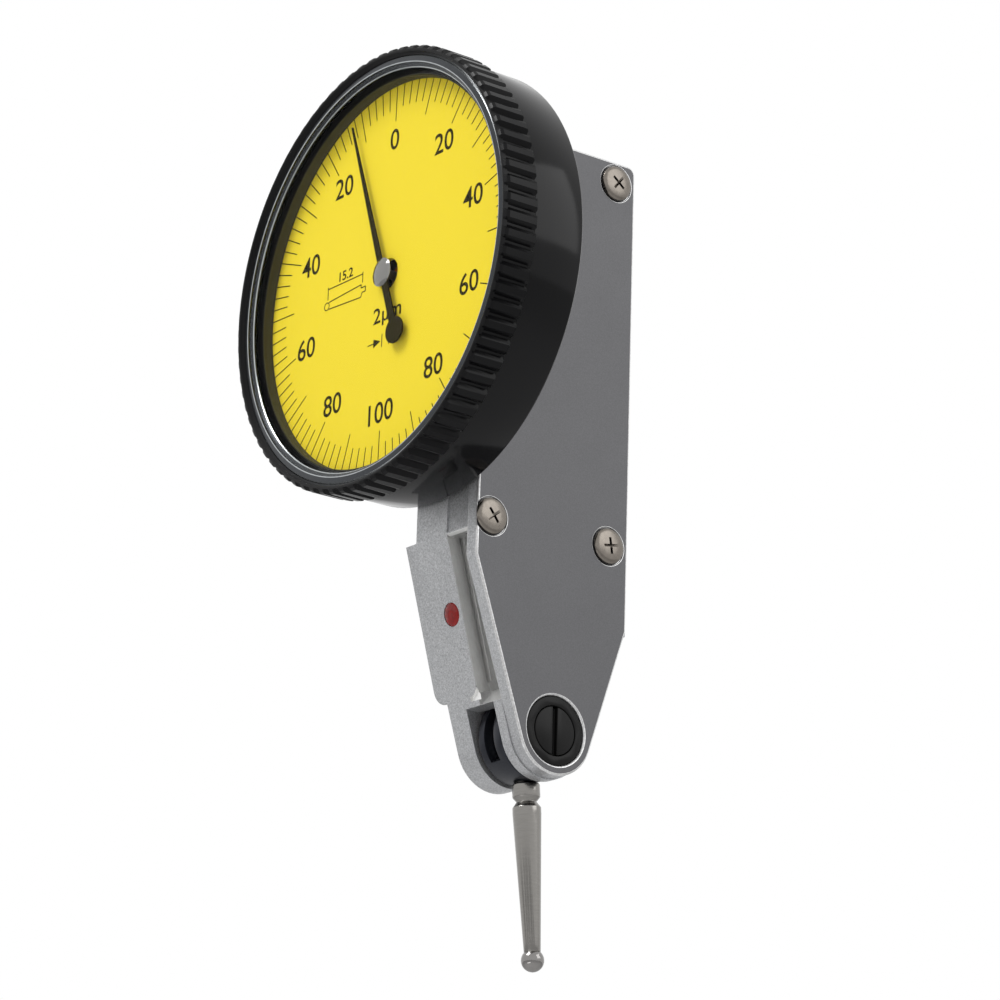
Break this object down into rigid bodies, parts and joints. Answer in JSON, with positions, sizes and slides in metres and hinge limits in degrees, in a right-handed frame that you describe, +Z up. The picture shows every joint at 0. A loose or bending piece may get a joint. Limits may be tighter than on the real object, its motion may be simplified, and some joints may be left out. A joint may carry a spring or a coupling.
{
  "type": "dial test indicator",
  "caption": "Lever-type dial test indicator: knurled bezel with yellow dial, slim metal body with dovetail rails, hinged ball-tipped contact point.",
  "frame": {"origin": "centre of the rear dovetail rail's face", "axes": "+Y backwards out of the rear rail, the dial faces -Y; +Z up from the contact point to the dial; +X towards the side cover"},
  "size_m": [0.04, 0.0286, 0.0791],
  "materials": {
    "frame_metal": "blasted",
    "cover_metal": "satin",
    "screw_metal": "bright nickel",
    "black_case": "gloss",
    "black_bezel": "semi-gloss",
    "crystal_clear": "clear",
    "dial_paint": "matt",
    "dark_steel": "blued",
    "point_steel": "ground",
    "ball_carbide": "polished",
    "pointer_paint": "matt",
    "gear_brass": "satin",
    "hair_bronze": "bright",
    "red_enamel": "gloss"
  },
  "bodies": {
    "body": {"frame_casting": "frame_metal", "side_cover": "cover_metal", "cover_screws": "screw_metal", "red_mark": "red_enamel", "dial_case": "black_case", "case_screws": "screw_metal", "bezel_spring": "point_steel", "pivot_ring": "dark_steel", "right_pivot_screw": "dark_steel", "left_pivot_screw": "dark_steel", "pivot_bearings": "gear_brass", "pivot_washers": "gear_brass", "movement_bushes": "gear_brass", "spindle_post": "gear_brass", "movement_bridge": "gear_brass", "bridge_pillars": "gear_brass", "bridge_screws": "screw_metal", "limit_pins": "point_steel", "lever_spring": "point_steel", "hairspring": "hair_bronze", "hairspring_stud": "gear_brass"},
    "bezel": {"bezel_ring": "black_bezel", "crystal": "crystal_clear", "dial_face": "dial_paint", "dial_snap_ring": "point_steel"},
    "pointer": {"pointer_spindle": "point_steel", "pointer": "pointer_paint", "pointer_cap": "point_steel", "hairspring_collet": "gear_brass"},
    "crown": {"crown_wheel": "gear_brass"},
    "sector": {"sector_gear": "gear_brass"},
    "lever": {"lever_arm": "point_steel", "pivot_pin": "point_steel"},
    "stylus": {"stylus_hub": "dark_steel", "stylus": "point_steel", "contact_ball": "ball_carbide"}
  },
  "joints": [
    {"name": "bezel_turn", "type": "hinge", "parent": "body", "child": "bezel", "pos_m": [0.00163, -0.027, 0.00745], "axis": [0, 1, 0], "continuous": true},
    {"name": "pointer_turn", "type": "hinge", "parent": "body", "child": "pointer", "pos_m": [0.00163, -0.0226, 0.00745], "axis": [0, 1, 0], "range_deg": [-170, 210]},
    {"name": "crown_turn", "type": "hinge", "parent": "body", "child": "crown", "pos_m": [0.00303, -0.012, 0.00745], "axis": [1, 0, 0], "range_deg": [-30, 35]},
    {"name": "sector_turn", "type": "hinge", "parent": "body", "child": "sector", "pos_m": [0.00443, -0.0108, -0.00614], "axis": [1, 0, 0], "range_deg": [-3.6, 3]},
    {"name": "lever_swing", "type": "hinge", "parent": "body", "child": "lever", "pos_m": [0.00286, -0.0108, -0.0317], "axis": [1, 0, 0], "range_deg": [-0.32, 0.38]},
    {"name": "stylus_swing", "type": "hinge", "parent": "lever", "child": "stylus", "pos_m": [0.00286, -0.0108, -0.0317], "axis": [1, 0, 0], "range_deg": [-104, 95]}
  ],
  "couplings": [
    {"joint": "crown_turn", "follows": "pointer_turn", "ratio": 0.15},
    {"joint": "sector_turn", "follows": "pointer_turn", "ratio": -0.015},
    {"joint": "lever_swing", "follows": "pointer_turn", "ratio": 0.0016722}
  ]
}
